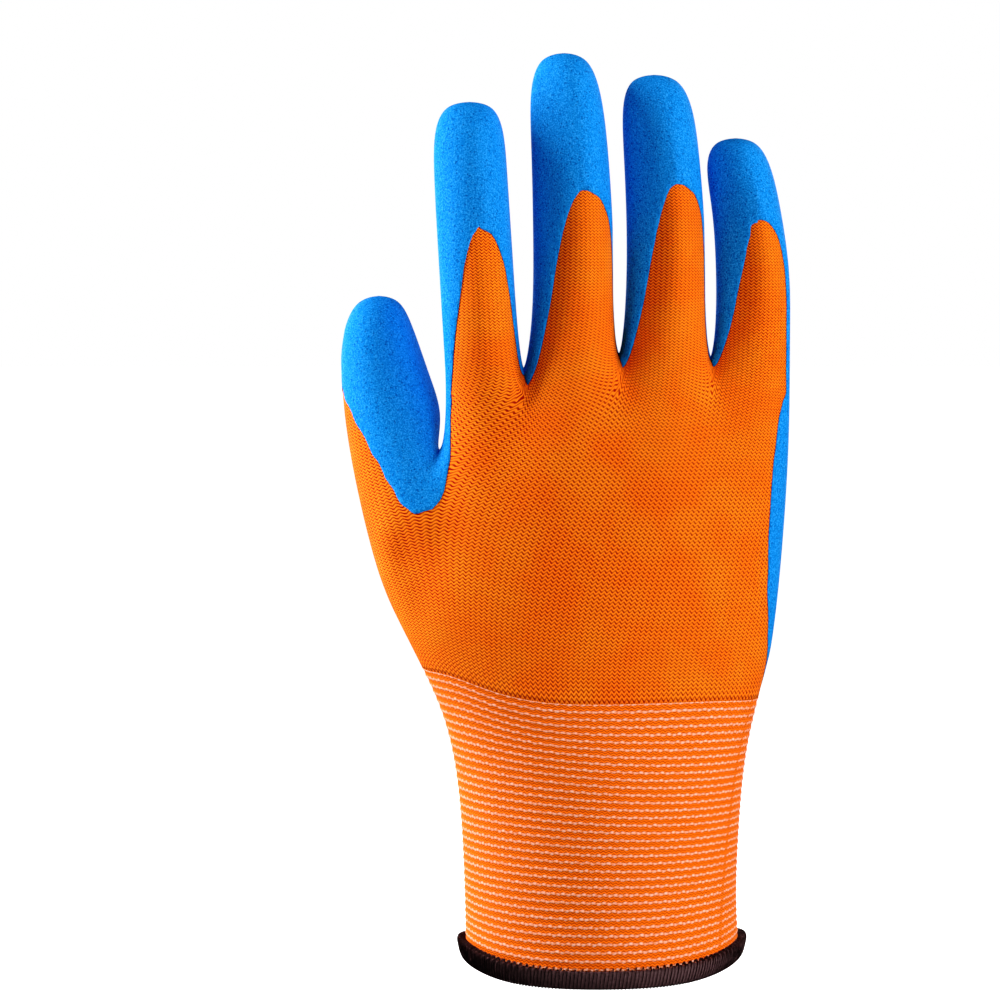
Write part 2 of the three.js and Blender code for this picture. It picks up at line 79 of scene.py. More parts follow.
# The sleeve's rows from the wrist up, in mm: height, x of both edges, depth to the back and to the palm, rise
# of the thumb's edge, dip of back and palm below the edges, the swells of the palm and the knuckles, how much
# more a row dips beside its middle, and how far it bends
SLEEVE_FIELDS = "name z left right back palm rise dip thenar hypothenar knuckle flat bend".split()
SLEEVE = [
    dict(zip(SLEEVE_FIELDS, row))
    for row in [
        ["cut_edge", 8.5, -36.6, 37.0, 24.8, 24.8, -0.4, 4.2, 0, 0, 0, 1, 0],
        ["cuff_low", 22.5, -36.9, 36.3, 24.2, 24.4, 0, 1.0, 0, 0, 0, 0.5, 0],
        ["cuff_mid", 44.5, -37.9, 37.3, 23.2, 24.4, 1.6, 0.6, 0, 0, 0, 0, 0],
        ["cuff_top", 63.5, -41.0, 38.8, 21.8, 24.5, 3.4, 1.6, 1, 0.5, 0, 0, 0],
        ["first_course", 78.5, -48.6, 42.2, 20.2, 24.5, 4.6, 3.2, 3, 1, 0, 0, 1],
        ["heel", 91.5, -54.5, 45.5, 18.6, 23.5, 3, 2, 5, 2, 0, 0, 0],
        ["thumb_root", 114.5, -47, 47.9, 17, 19, 1, 0, 5, 2, 0, 0, 0],
        ["web", 139.5, -41.8, 49.4, 15.6, 15.8, 0, 0, 1, 0.5, 0.8, 0, 0],
        ["crotch", 156.5, -41.0, 49.6, 13, 13.4, 0, 0, 0, 0, 0.6, 0, 0],
    ]
]
FIRST_COURSE, HEEL, THUMB_ROOT, WEB, CROTCH = 4, 5, 6, 7, 8

# How much of each swell and bend falls on each column
THENAR_SHARE = {19: 0.7, 18: 1, 17: 0.6, 16: 0.2}
HYPOTHENAR_SHARE = {11: 0.5, 12: 1, 13: 0.6, 14: 0.2}
KNUCKLE_SHARE = {2: 1, 3: -1, 4: 1, 5: -1, 6: 1, 7: -1, 8: 1}
BEND_SHARE = {2: 1.5, 3: -1.6, 4: -3, 5: -1.1, 6: 0.7, 7: 1.6, 8: 1.2}

# Where two fingers part: x of the gap, and heights of the crotch on the back, in the middle and on the palm.
# There the sleeve is pinched to a share of its depth, at these columns of the back and the same of the palm.
CROTCH_COLUMNS = (3, 5, 7)
CROTCH_PINCH = 0.8
CROTCHES = [
    {"x": -21, "back": 152, "middle": 156.5, "palm": 157.5},
    {"x": 4.6, "back": 157, "middle": 161.5, "palm": 162.5},
    {"x": 28.9, "back": 157.5, "middle": 161, "palm": 161.5},
]

# Stalls, one row per ring, in mm: z, x and y of its centre, half width, half depth, and its lean in degrees
STALLS = {
    "index": [
        (171.5, -32.6, 0.6, 9.4, 9.6, 0),
        (191.5, -33.8, 1.8, 9.4, 9.3, 0),
        (213.5, -35.2, 4, 9.3, 8.8, 0),
        (227.2, -35.7, 6.2, 9, 8.2, 0),
        (233.4, -35.5, 7.4, 5.2, 4.6, 0),
    ],
    "middle": [
        (174.5, -7.6, 0, 10.3, 10.2, 0),
        (196.5, -7.6, 1.8, 10.2, 9.8, 0),
        (221.5, -8.6, 5, 9.7, 9.2, 0),
        (238.3, -10, 7.8, 9.1, 8.3, 0),
        (246.6, -10.3, 9.2, 5.2, 4.6, 0),
    ],
    "ring": [
        (174.5, 16.9, 0.8, 10.2, 10.0, 0),
        (195.5, 17.35, 2.7, 9.95, 9.6, 0),
        (217.5, 16.15, 5.8, 9.55, 9.1, 0),
        (233.3, 14.8, 8.5, 9.2, 8.1, 0),
        (240.8, 13.9, 9.9, 5.4, 4.6, 0),
    ],
    "little": [
        (171.5, 40.4, 2.4, 9.3, 9, 0),
        (187.5, 40.65, 3.8, 9.35, 8.8, 0),
        (204.5, 39, 6, 8.5, 8.2, 0),
        (217.5, 36.35, 8, 8.45, 7.8, 0),
        (223.8, 35.8, 9.2, 4.7, 4.3, 0),
    ],
    "thumb": [
        (122.5, -53, 9, 18.5, 14.5, 66),
        (141.5, -55.2, 13, 14.6, 12.8, 34),
        (157, -58.8, 16.5, 12.1, 11.8, 12),
        (172.5, -60.9, 19.6, 9.4, 10, 3),
        (181.5, -60.4, 21, 5, 5, 0),
    ],
}
FINGERS = ["index", "middle", "ring", "little"]

# The fingers' backs are turned to the right. How far, for each finger and for each ring along it, and where a
# fully turned ring moves its corners, in half widths and half depths
TURNED = {"index": 0.3, "middle": 1, "ring": 1, "little": 1, "thumb": 0}
TURNED_ALONG = [0.5, 1, 1, 0.8, 0.4]
TURNED_CORNERS = {7: (-0.04, 0), 0: (0.157, 0.257), 1: (0.25, -0.08)}
PARTS = ["cuff", "palm", *STALLS]

# On the sleeve the dip covers the columns round the palm. At each place between the rows it starts at one
# column, on the little finger's side, and ends at another, on the thumb's.
DIP_ON_SLEEVE = [
    (2.06, 14.3, 16.2),
    (2.2, 13.2, 16.5),
    (2.4, 12.5, 16.9),
    (2.8, 11.4, 17.8),
    (3.1, 10.9, 18.9),
    (3.9, 10.3, 19.2),
    (4.6, 9.8, 19.4),
    (5, 9.33, 19.45),
    (5.6, 8.87, 20),
    (6.3, 8.65, 21.1),
    (7, 8.68, 20.9),
    (7.6, 8.9, 20.65),
    (8, 9.3, 20.75),
]

# On each stall an arch of bare knit: the ring of its crown, its middle column, and then its spread in columns
# and the power that shapes it, to the left and to the right
BARE_ARCHES = {
    "index": (2.37, 1.2, 1.57, 0.95, 1.42, 2.8),
    "middle": (2.54, 1.1, 1.2, 2.2, 2, 5),
    "ring": (2.75, 1.05, 1.33, 1.2, 1.9, 7),
    "little": (2.89, 1.05, 1.5, 0.85, 1.4, 7),
    "thumb": (3.12, 7, 0.9, 2, 2.5, 0.95),
}


# The glove's form as a coarse cage


def rounding_gain(corners):
    """How much larger a cage ring is drawn than the ring that it is rounded to"""
    return 3 / (2 + math.cos(2 * math.pi / corners))


def sleeve_point(row, column):
    """A corner of the sleeve's cage"""
    angle = column * 2 * math.pi / SLEEVE_COLUMNS
    gain = rounding_gain(SLEEVE_COLUMNS)
    across, depth = -math.cos(angle), math.sin(angle)
    middle = (row["left"] + row["right"]) / 2
    half = (row["right"] - row["left"]) / 2 * gain
    y = -depth * (row["palm"] if depth < 0 else row["back"]) * gain
    y += row["thenar"] * THENAR_SHARE.get(column, 0)
    y += row["hypothenar"] * HYPOTHENAR_SHARE.get(column, 0)
    y -= row["knuckle"] * KNUCKLE_SHARE.get(column, 0)
    z = row["z"] - row["rise"] * across - row["dip"] * depth**2 * (1 + row["flat"] * across**2)
    z += row["bend"] * BEND_SHARE.get(column, 0)
    return Vector((middle + across * half, y, z))


def stall_points(ring, turned):
    """The corners of one ring of a stall's cage"""
    z, x, y, wide, deep, lean = ring
    gain = rounding_gain(STALL_COLUMNS)
    lean = math.radians(lean)
    right = Vector((math.cos(lean), 0, math.sin(lean)))
    points = []
    for k in range(STALL_COLUMNS):
        angle = (k - 3) * 2 * math.pi / STALL_COLUMNS
        aside, back = TURNED_CORNERS.get(k, (0, 0))
        point = Vector((x, y, z)) + right * ((math.cos(angle) + aside * turned) * wide * gain)
        point.y += (math.sin(angle) + back * turned) * deep * gain
        points.append(point)
    return points


# Courses above the cuff's top edge at the rows from there to the crotches
ROW_COURSES = {FIRST_COURSE: 0, HEEL: 17, THUMB_ROOT: 41, WEB: 66.5, CROTCH: 88.5}
# How many wales the body gives to the thumb by each row, and by how many its wales have leaned to the
# little finger there: at the thumb's edge, in the middle of the back and at the little finger's edge
THUMB_WALES = {THUMB_ROOT: 4, WEB: 9.4, CROTCH: 9.4}
LEANED_WALES = {HEEL: (0.5, 0.7, 1), THUMB_ROOT: (1.5, 3.5, 3.5), WEB: (5, 10, 6.5), CROTCH: (11, 15.5, 8)}
# Wales that the thumb's root draws after it at each row, by columns from the thumb's edge
DRAWN_WALES = {
    THUMB_ROOT: (0, 8, 5, 3, 1.5, 0.5),
    WEB: (4, 5, 3.5, 2, 0.5, 0),
    CROTCH: (3, 3, 2, 1, 0, 0),
}
# Courses that the thumb adds to the heel's row, by columns from the thumb's edge
HEEL_COURSES = {0: 3, 1: 1}
# Courses by which a crotch draws the knit down at the front and the back, and in a finger's middle
CROTCH_DROP = 4
MIDDLE_DROP = 6


def sleeve_stitch(row, column):
    """Wale and course at a corner of the sleeve's cage, where column 20 is column 0 again"""
    from_thumb = SLEEVE_COLUMNS - column if column > HALF_ROUND else column
    corners = [sleeve_point(SLEEVE[row], c) for c in range(HALF_ROUND + 1)]
    steps = [(after - before).length for before, after in zip(corners, corners[1:])]
    given = THUMB_WALES.get(row, 0)
    wale = given + (WALES_ROUND / 2 - given) * sum(steps[:from_thumb]) / sum(steps)
    left, middle, right = LEANED_WALES.get(row, (0, 0, 0))
    across = from_thumb / HALF_ROUND
    bulge = middle - (left + right) / 2
    wale -= left + (right - left) * across + bulge * 4 * across * (1 - across)
    drawn = DRAWN_WALES.get(row, ())
    wale += drawn[from_thumb] if from_thumb < len(drawn) else 0
    if column > HALF_ROUND:
        wale = WALES_ROUND - wale
    course = ROW_COURSES.get(row, 0)
    if row == HEEL:
        course += HEEL_COURSES.get(from_thumb, 0)
    if row == CROTCH and from_thumb in CROTCH_COLUMNS:
        course -= CROTCH_DROP
    return wale, course


# The thumb's base takes its wales and courses from corners of the sleeve. On its rings they are given from
# the outer side, over the back, to the side of the index finger.
THUMB_BASE = [(HEEL, 0), (HEEL, 1), (THUMB_ROOT, 1), (WEB, 1), (WEB, 0)]
THUMB_STITCH = [
    [(0, 35), (5.5, 38.5), (9.5, 51), (12.5, 63), (13, 76.5)],
    [(0, 67), (7, 67), (13, 71.5), (19, 77.5), (21, 85)],
    [(0, 91), (5.5, 90), (11, 90), (16.5, 93), (21.5, 98)],
    [(0, 111), (4.5, 109.5), (9, 109), (13.5, 110), (18, 114)],
    [(0, 122.5), (4, 122), (8, 121.5), (11, 121.5), (14, 123)],
]


def thumb_stitch(ring, corner):
    """Wale and course at a corner of the thumb, whose corner 7 is its outer side and 3 faces the index.
    Corner 8 is corner 0, and the palm side counts its wales the other way."""
    if ring == 0:
        row = [sleeve_stitch(*corner_of_hole) for corner_of_hole in THUMB_BASE]
    else:
        row = THUMB_STITCH[ring - 1]
    step = (corner + 1) % STALL_COLUMNS
    if step < len(row):
        return row[step]
    wale, course = row[STALL_COLUMNS - step]
    return -wale, course


# Wales round each finger
FINGER_WALES = 44


def finger_stitch(finger, ring, corner):
    """Wale and course at a corner of a finger, corner 8 being corner 0 again"""
    column = 2 * FINGERS.index(finger)
    left, middle, right = (sleeve_stitch(CROTCH, column + step) for step in (1, 2, 3))
    if ring > 0:
        height = STALLS[finger][ring - 1][0] - SLEEVE[CROTCH]["z"]
        wale = middle[0] + (corner - 1) * FINGER_WALES / STALL_COLUMNS
        return wale, ROW_COURSES[CROTCH] + height / FINGER_COURSE
    side = (FINGER_WALES - right[0] + left[0]) / (STALL_COLUMNS - 2)
    wale = [left[0], middle[0], *[right[0] + side * step for step in range(STALL_COLUMNS - 1)]][corner]
    corner %= STALL_COLUMNS
    gapped = (corner in (0, 7, 6) and finger != "index") or (corner in (2, 3, 4) and finger != "little")
    deep = MIDDLE_DROP if corner in (3, 7) else CROTCH_DROP
    return wale, ROW_COURSES[CROTCH] - (deep if gapped else 0)


def pull_out(bm, ring, edges):
    """Pulls a new ring out of an open one. Gives its vertices in the old order, its edges and the faces."""
    made = bmesh.ops.extrude_edge_only(bm, edges=edges)["geom"]
    fresh = {piece for piece in made if isinstance(piece, bmesh.types.BMVert)}
    faces = [piece for piece in made if isinstance(piece, bmesh.types.BMFace)]
    outer = [e for e in made if isinstance(e, bmesh.types.BMEdge) and set(e.verts) <= fresh]
    above = [next(e.other_vert(v) for e in v.link_edges if e.other_vert(v) in fresh) for v in ring]
    return above, outer, faces


class Cage:
    """The glove's cage in a bmesh. Each face knows its part, and each corner its place in cage and knit."""

    def __init__(self):
        self.bm = bmesh.new()
        self.place = self.bm.loops.layers.uv.new("cage")
        self.stitch = self.bm.loops.layers.uv.new("stitch")

    def mark(self, face, part, corners):
        """corners: for each point of the face its column, row, wale and course"""
        face.material_index = PARTS.index(part)
        face.smooth = True
        for loop in face.loops:
            u, v, wale, course = corners[loop.vert]
            loop[self.place].uv = (u, v)
            loop[self.stitch].uv = (wale, course)

    def edges_round(self, ring):
        """The edges that join a ring's vertices, each to the next"""
        return [self.bm.edges.get(ends) for ends in zip(ring, ring[1:] + ring[:1])]

    def raise_ring(self, part, ring, points, row, stitch_at):
        """Pulls a new ring out of an open one, and marks the band between them"""
        above, _, faces = pull_out(self.bm, ring, self.edges_round(ring))
        for vert, point in zip(above, points):
            vert.co = point
        for k in range(len(ring)):
            after = (k + 1) % len(ring)
            corners = {
                ring[k]: (k, row, *stitch_at(row, k)),
                ring[after]: (k + 1, row, *stitch_at(row, k + 1)),
                above[k]: (k, row + 1, *stitch_at(row + 1, k)),
                above[after]: (k + 1, row + 1, *stitch_at(row + 1, k + 1)),
            }
            face = next(f for f in faces if set(f.verts) == set(corners))
            self.mark(face, part, corners)
        return above

    def stall(self, part, base, stitch_at):
        """A stall's rings, pulled one after another out of its base, and the face that closes its tip"""
        ring = base
        for row, size in enumerate(STALLS[part]):
            points = stall_points(size, TURNED[part] * TURNED_ALONG[row])
            ring = self.raise_ring(part, ring, points, row, stitch_at)
        cap = bmesh.ops.contextual_create(self.bm, geom=self.edges_round(ring))["faces"][0]
        last = len(STALLS[part])
        self.mark(cap, part, {v: (k, last, *stitch_at(last, k)) for k, v in enumerate(ring)})


def build_cage():
    """The whole cage: the sleeve up to the crotches, with the fingers and the thumb on it"""
    cage = Cage()
    bm = cage.bm
    bmesh.ops.create_circle(bm, segments=SLEEVE_COLUMNS, radius=1)
    bm.verts.ensure_lookup_table()
    rows = [list(bm.verts)]
    for column, vert in enumerate(rows[0]):
        vert.co = sleeve_point(SLEEVE[0], column)
    for row in range(CROTCH):
        part = "cuff" if row < FIRST_COURSE else "palm"
        points = [sleeve_point(SLEEVE[row + 1], column) for column in range(SLEEVE_COLUMNS)]
        rows.append(cage.raise_ring(part, rows[-1], points, row, sleeve_stitch))

    # The thumb's hole takes two columns over two bands
    bmesh.ops.delete(bm, geom=[rows[THUMB_ROOT][0]], context="VERTS")

    # A bridge from the back to the palm parts two fingers
    top = rows[CROTCH]
    middles = []
    for column, crotch in zip(CROTCH_COLUMNS, CROTCHES):
        back, palm = top[column], top[SLEEVE_COLUMNS - column]
        back.co = Vector((crotch["x"], back.co.y * CROTCH_PINCH, crotch["back"]))
        palm.co = Vector((crotch["x"], palm.co.y * CROTCH_PINCH, crotch["palm"]))
        _, middle = bmesh.utils.edge_split(bm.edges.new((back, palm)), back, 0.5)
        middle.co = Vector((crotch["x"], (back.co.y + palm.co.y) / 2, crotch["middle"]))
        middles.append(middle)

    # A finger takes three columns of the back and three of the palm, and shares the outer ones
    sides = [top[0], *middles, top[HALF_ROUND]]
    for index, finger in enumerate(FINGERS):
        columns = [2 * index + step for step in (1, 2, 3)]
        back = [top[column] for column in columns]
        palm = [top[SLEEVE_COLUMNS - column] for column in reversed(columns)]
        base = [*back, sides[index + 1], *palm, sides[index]]
        cage.stall(finger, base, partial(finger_stitch, finger))

    low, mid, high = rows[HEEL], rows[THUMB_ROOT], rows[WEB]
    thumb_base = [low[1], mid[1], high[1], high[0], high[-1], mid[-1], low[-1], low[0]]
    cage.stall("thumb", thumb_base, thumb_stitch)
    bmesh.ops.recalc_face_normals(bm, faces=bm.faces)
    return bm


def object_from(name, bm):
    """An object made from a bmesh, which is used up"""
    mesh = bpy.data.meshes.new(name)
    bm.to_mesh(mesh)
    bm.free()
    piece = bpy.data.objects.new(name, mesh)
    bpy.context.scene.collection.objects.link(piece)
    return piece


def rounded(piece):
    """A bmesh of the piece with its modifiers done, and the piece taken away"""
    bpy.context.view_layer.update()
    done = piece.evaluated_get(bpy.context.evaluated_depsgraph_get())
    bm = bmesh.new()
    bm.from_mesh(done.to_mesh())
    done.to_mesh_clear()
    bpy.data.meshes.remove(piece.data)
    return bm


# Creases that run down the back from where two fingers part, then the swell and the hollow at the thumb's
# root, in mm: the deepest point, its depth, how sharp it is from 0 to 1, and how far it reaches each way
RELIEF_FIELDS = "x z depth sharpness left right down up".split()
RELIEF = [
    dict(zip(RELIEF_FIELDS, row))
    for row in [
        [-20.6, 160, 1.7, 1, 3.6, 6.5, 10, 5],
        [5.6, 164, 1.7, 1, 3.6, 6.5, 10, 5],
        [29.2, 163.5, 1.7, 1, 3.6, 6.5, 10, 5],
        [-46, 121, -1.2, 0, 9, 9, 12, 9],
        [-54, 113, 1.4, 0, 9, 9, 12, 12],
    ]
]
# The relief fades out towards the glove's sides, where the back is less than this far out, in mm
RELIEF_FADE = 5


def eased(share):
    """A share from 0 to 1 with a soft start and a soft end"""
    return share**2 * (3 - 2 * share)


def relief_depth(point):
    """How far the back of the glove is sunk there. A sharp dent is a crease, and others are rounded."""
    depth = 0
    for dent in RELIEF:
        aside, above = point.x - dent["x"], point.z - dent["z"]
        across = max(1 - abs(aside) / dent["left" if aside < 0 else "right"], 0)
        along = max(1 - abs(above) / dent["down" if above < 0 else "up"], 0)
        section = eased(across) + (across**2 - eased(across)) * dent["sharpness"]
        depth += dent["depth"] * section * eased(along)
    return depth * min(max(-point.y / RELIEF_FADE, 0), 1)


def smooth_form():
    """The whole glove's skin, rounded and creased, which the liner and the dip are cut from"""
    draft = object_from("form_draft", build_cage())
    smoothing = draft.modifiers.new("rounding", "SUBSURF")
    smoothing.levels = smoothing.render_levels = SMOOTHING
    smoothing.uv_smooth = "PRESERVE_CORNERS_JUNCTIONS_AND_CONCAVE"
    smoothing.boundary_smooth = "ALL"
    form = rounded(draft)
    for vert in form.verts:
        vert.co.y += relief_depth(vert.co)
    return form


# Materials


def linear(colour):
    """An sRGB hex colour as the linear one that the shader takes"""
    channels = [int(colour[i : i + 2], 16) / 255 for i in (1, 3, 5)]
    return (*[c / 12.92 if c <= 0.04045 else ((c + 0.055) / 1.055) ** 2.4 for c in channels], 1)


def set_inputs(owner, node, inputs):
    """Sets or links a node's inputs, by name or number. Each is a value, or the output that feeds it."""
    for socket, value in inputs.items():
        if isinstance(value, bpy.types.NodeSocket):
            owner.node_tree.links.new(value, node.inputs[socket])
        else:
            node.inputs[socket].default_value = value


def add_node(owner, kind, inputs=(), output=0, **settings):
    """Adds a node with its settings and links, and gives one of its outputs. Inputs are a list or a dict."""
    node = owner.node_tree.nodes.new(f"ShaderNode{kind}")
    for name, value in settings.items():
        setattr(node, name, value)
    set_inputs(owner, node, inputs if isinstance(inputs, dict) else dict(enumerate(inputs)))
    return node.outputs[output]


# The sockets of a Mix node that mixes colours
SHARE, FIRST, SECOND, MIXED = 0, 6, 7, 2


def new_material(name):
    """A material, and the function that adds its nodes"""
    material = bpy.data.materials.new(name)
    material.use_nodes = True
    return material, partial(add_node, material)


def finish(material, inputs):
    """Sets or links the sockets of the material's shader"""
    set_inputs(material, material.node_tree.nodes["Principled BSDF"], inputs)
    return material


def knitted_polyester():
    """Knitted liner: jersey in dyed polyester yarn. Each course is a bright wavy ridge of yarn, with short
    gaps that slope under its falling side, painted red-brown as shade, and the fibres give a soft sheen. The
    pattern is scaled in stitches, which are about 1.4 mm wide and 0.9 mm high."""
    material, node = new_material("orange_polyester_jersey")
    stitch = node("UVMap", uv_map="stitch")
    wale = node("SeparateXYZ", [stitch], "X")
    course = node("SeparateXYZ", [stitch], "Y")

    # Each course swings once in a wale by 0.3 of its height, and strays by up to 0.08 of it
    turn = node("Math", [wale, 2 * math.pi], operation="MULTIPLY")
    swing = node("Math", [turn], operation="SINE")
    course = node("Math", [swing, 0.3, course], operation="MULTIPLY_ADD")
    stray = node("TexNoise", {"Vector": stitch, "Scale": 0.9, "Detail": 2.0})
    stray = node("MapRange", [stray, 0, 1, -0.08, 0.08])
    course = node("Math", [course, stray], operation="ADD")
    crest = node("Math", [course, 2 * math.pi], operation="MULTIPLY")
    ridge = node("Math", [crest], operation="COSINE")
    ridge = node("MapRange", [ridge, -1, 1, 0, 1])

    # A gap opens where the ridge is low, and is deepest under its falling side. Its colour is painted shade
    side = node("Math", [turn, 0.5], operation="SUBTRACT")
    falling = node("Math", [side], operation="COSINE")
    falling = node("MapRange", [falling, -1, 1, 0.6, 1])
    low = node("MapRange", [ridge, 0.7, 0.2, 0, 1])
    gap = node("Math", [low, falling], operation="MULTIPLY")

    # The yarn's colour changes from fibre to fibre, and in patches about 11 mm wide
    fibres = node("TexNoise", {"Vector": stitch, "Scale": 2.3, "Detail": 3.0})
    place = node("TexCoord", output="Object")
    patches = node("TexNoise", {"Vector": place, "Scale": 0.09 / MILLIMETRE, "Detail": 2.0})
    patches = node("MapRange", [patches, 0.35, 0.65, 0, 0.6])
    thin, thick, deep, shadow = (linear(colour) for colour in ("#FF7B1C", "#FF8E2A", "#FF6D18", "#981C0C"))
    yarn = node("Mix", {SHARE: fibres, FIRST: thin, SECOND: thick}, MIXED, data_type="RGBA")
    yarn = node("Mix", {SHARE: patches, FIRST: yarn, SECOND: deep}, MIXED, data_type="RGBA")
    # The gaps take the shadow colour: painted shade between the courses
    colour = node("Mix", {SHARE: gap, FIRST: yarn, SECOND: shadow}, MIXED, data_type="RGBA")

    height = node("Math", [gap, -0.6, ridge], operation="MULTIPLY_ADD")
    height = node("Math", [fibres, 0.35, height], operation="MULTIPLY_ADD")
    return finish(
        material,
        {
            "Base Color": colour,
            "Normal": node("Bump", {"Height": height, "Strength": 0.35, "Distance": 0.3 * MILLIMETRE}),
            "Roughness": 0.82,
            "IOR": 1.5,
            "Specular IOR Level": 0.06,
            "Sheen Weight": 0.06,
            "Sheen Roughness": 0.5,
            "Sheen Tint": linear("#FFB070"),
        },
    )


def foamed_latex():
    """Palm dip: foamed latex, cured with open cells. The skin is matt and sandy, with pale grains and small
    dark pores where cells have burst. The real ones are too fine to show, so the grains are drawn 0.4 mm and
    the pores 1.1 mm apart. The blue also changes a little in clouds about 8 mm wide."""
    material, node = new_material("blue_foamed_latex")
    place = node("TexCoord", output="Object")
    sand = node("TexNoise", {"Vector": place, "Scale": 2.5 / MILLIMETRE, "Detail": 2.0})
    cells = node("TexVoronoi", {"Vector": place, "Scale": 0.9 / MILLIMETRE, "Randomness": 1.0}, "Distance")
    cloud = node("TexNoise", {"Vector": place, "Scale": 0.12 / MILLIMETRE, "Detail": 3.0})
    pore = node("MapRange", [cells, 0.12, 0.3, 1, 0])
    grain = node("MapRange", [sand, 0.48, 0.68, 0, 0.65])
    # Where the sand is low the blue is darker: painted shade in its hollows
    hollow = node("MapRange", [sand, 0.3, 0.48, 0.55, 0])
    burst = node("Math", [pore, 0.55], operation="MULTIPLY")
    colour = linear("#1879CE")
    for share, tint in [(cloud, "#1880D6"), (grain, "#44A6F6"), (hollow, "#0050AC"), (burst, "#00348C")]:
        colour = node("Mix", {SHARE: share, FIRST: colour, SECOND: linear(tint)}, MIXED, data_type="RGBA")
    rough = node("Math", [sand, 1.2], operation="MULTIPLY")
    height = node("Math", [rough, pore], operation="SUBTRACT")
    return finish(
        material,
        {
            "Base Color": colour,
            "Normal": node("Bump", {"Height": height, "Strength": 0.5, "Distance": 0.2 * MILLIMETRE}),
            "Roughness": 0.6,
            "IOR": 1.52,
            "Specular IOR Level": 0.01,
        },
    )


def soaked_rim_and_painted_shade():
    """Edge of the dip: its rim, darker than foam or knit, is partly yarn that the latex has soaked and partly
    painted shade along the edge
    """
    material, _ = new_material("latex_soaked_rim_and_painted_shade")
    # Dark rim colour: partly soaked yarn, partly painted shade
    colour = linear("#3C2444")
    return finish(material, {"Base Color": colour, "Roughness": 0.8, "IOR": 1.52, "Specular IOR Level": 0.1})


def elastic_knit():
    """Cuff: the same yarn knitted with covered rubber. Every third course shows the pale covering of the
    rubber between the stitches as a row of small uneven beads, with two plain orange courses between. The
    pattern is scaled in wales about 1.2 mm wide and in ribs 2 mm high."""
    material, node = new_material("elastic_cuff_knit")
    stitch = node("UVMap", uv_map="stitch")
    wale = node("SeparateXYZ", [stitch], "X")
    rib = node("SeparateXYZ", [stitch], "Y")
    turn = node("Math", [wale, 2 * math.pi], operation="MULTIPLY")
    wobble = node("TexNoise", {"Vector": stitch, "Scale": 0.8, "Detail": 3.0})
    wobble = node("MapRange", [wobble, 0, 1, -0.1, 0.1])
    rib = node("Math", [rib, wobble], operation="ADD")

    # Beads lie on the ribs between the wales, every other one a little lower, and some are faint
    beads = node("Math", [turn], operation="COSINE")
    beads = node("MapRange", [beads, -1, 0.4, 0.3, 1])
    every_other = node("Math", [turn, 0.5], operation="MULTIPLY")
    sag = node("Math", [every_other], operation="COSINE")
    crest = node("Math", [sag, 0.06, rib], operation="MULTIPLY_ADD")
    crest = node("Math", [crest, 2 * math.pi], operation="MULTIPLY")
    stripe = node("Math", [crest], operation="COSINE")
    stripe = node("MapRange", [stripe, 0.3, 0.9, 0, 1])
    spots = node("TexNoise", {"Vector": stitch, "Scale": 1.7, "Detail": 1.0})
    spots = node("MapRange", [spots, 0.3, 0.6, 0.4, 1])
    pale = node("Math", [stripe, beads], operation="MULTIPLY")
    pale = node("Math", [pale, spots], operation="MULTIPLY")
    for plain_wale in PLAIN_WALES:
        plain = node("Math", [wale, plain_wale, 0.45], operation="COMPARE")
        plain = node("MapRange", [plain, 0, 1, 1, 0.1])
        pale = node("Math", [pale, plain], operation="MULTIPLY")

    # Three courses to a rib, with dark lines of painted shade between them
    zigzag = node("Math", [turn], operation="SINE")
    courses = node("Math", [zigzag, 0.09, rib], operation="MULTIPLY_ADD")
    courses = node("Math", [courses, 3 * 2 * math.pi], operation="MULTIPLY")
    between = node("Math", [courses], operation="COSINE")
    dark = node("MapRange", [between, 0.3, -1, 0, 0.9])
    orange, shadow, rubber = (linear(colour) for colour in ("#FF761A", "#B03408", "#FFC0A6"))
    yarn = node("Mix", {SHARE: dark, FIRST: orange, SECOND: shadow}, MIXED, data_type="RGBA")
    colour = node("Mix", {SHARE: pale, FIRST: yarn, SECOND: rubber}, MIXED, data_type="RGBA")
    height = node("Math", [between, 0.35, pale], operation="MULTIPLY_ADD")
    return finish(
        material,
        {
            "Base Color": colour,
            "Normal": node("Bump", {"Height": height, "Strength": 0.5, "Distance": 0.3 * MILLIMETRE}),
            "Roughness": 0.85,
            "IOR": 1.5,
            "Specular IOR Level": 0.06,
            "Sheen Weight": 0.06,
            "Sheen Tint": linear("#FFC8A8"),
        },
    )


def overlock_thread():
    """Hem: textured polyester overlock thread, wound close. It is dull dark brown with slightly lighter
    fibres, which are drawn 0.7 mm apart because the real ones are too fine to show."""
    material, node = new_material("dark_overlock_thread")
    place = node("TexCoord", output="Object")
    fibres = node("TexNoise", {"Vector": place, "Scale": 1.5 / MILLIMETRE, "Detail": 4.0})
    dark, light = linear("#3A2829"), linear("#705A5C")
    return finish(
        material,
        {
            "Base Color": node("Mix", {SHARE: fibres, FIRST: dark, SECOND: light}, MIXED, data_type="RGBA"),
            "Normal": node("Bump", {"Height": fibres, "Strength": 0.5, "Distance": 0.2 * MILLIMETRE}),
            "Roughness": 0.9,
            "IOR": 1.5,
            "Specular IOR Level": 0.3,
            "Sheen Weight": 0.3,
            "Sheen Tint": linear("#A08080"),
        },
    )


def studio_paper():
    """Floor: a plain pale sheet of matt paper that glows evenly, as over a light table"""
    material, _ = new_material("studio_paper")
    return finish(
        material,
        {
            "Base Color": linear("#F4F4F4"),
            "Roughness": 0.95,
            "Specular IOR Level": 0.1,
            "Emission Color": linear("#FFFFFF"),
            "Emission Strength": 1.0,
        },
    )


# Pieces


def add_piece(name, bm, material, nodes):
    """Brings a shape to metres, gives it its finish, and hangs it on the glove in the place of CAD nodes"""
    for face in bm.faces:
        face.material_index = 0
        face.smooth = True
    bmesh.ops.scale(bm, vec=(MILLIMETRE, MILLIMETRE, MILLIMETRE), verts=bm.verts)
    piece = object_from(name, bm)
    piece.data.materials.append(material)
    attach(piece, "root")
    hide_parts(*nodes)
    return piece


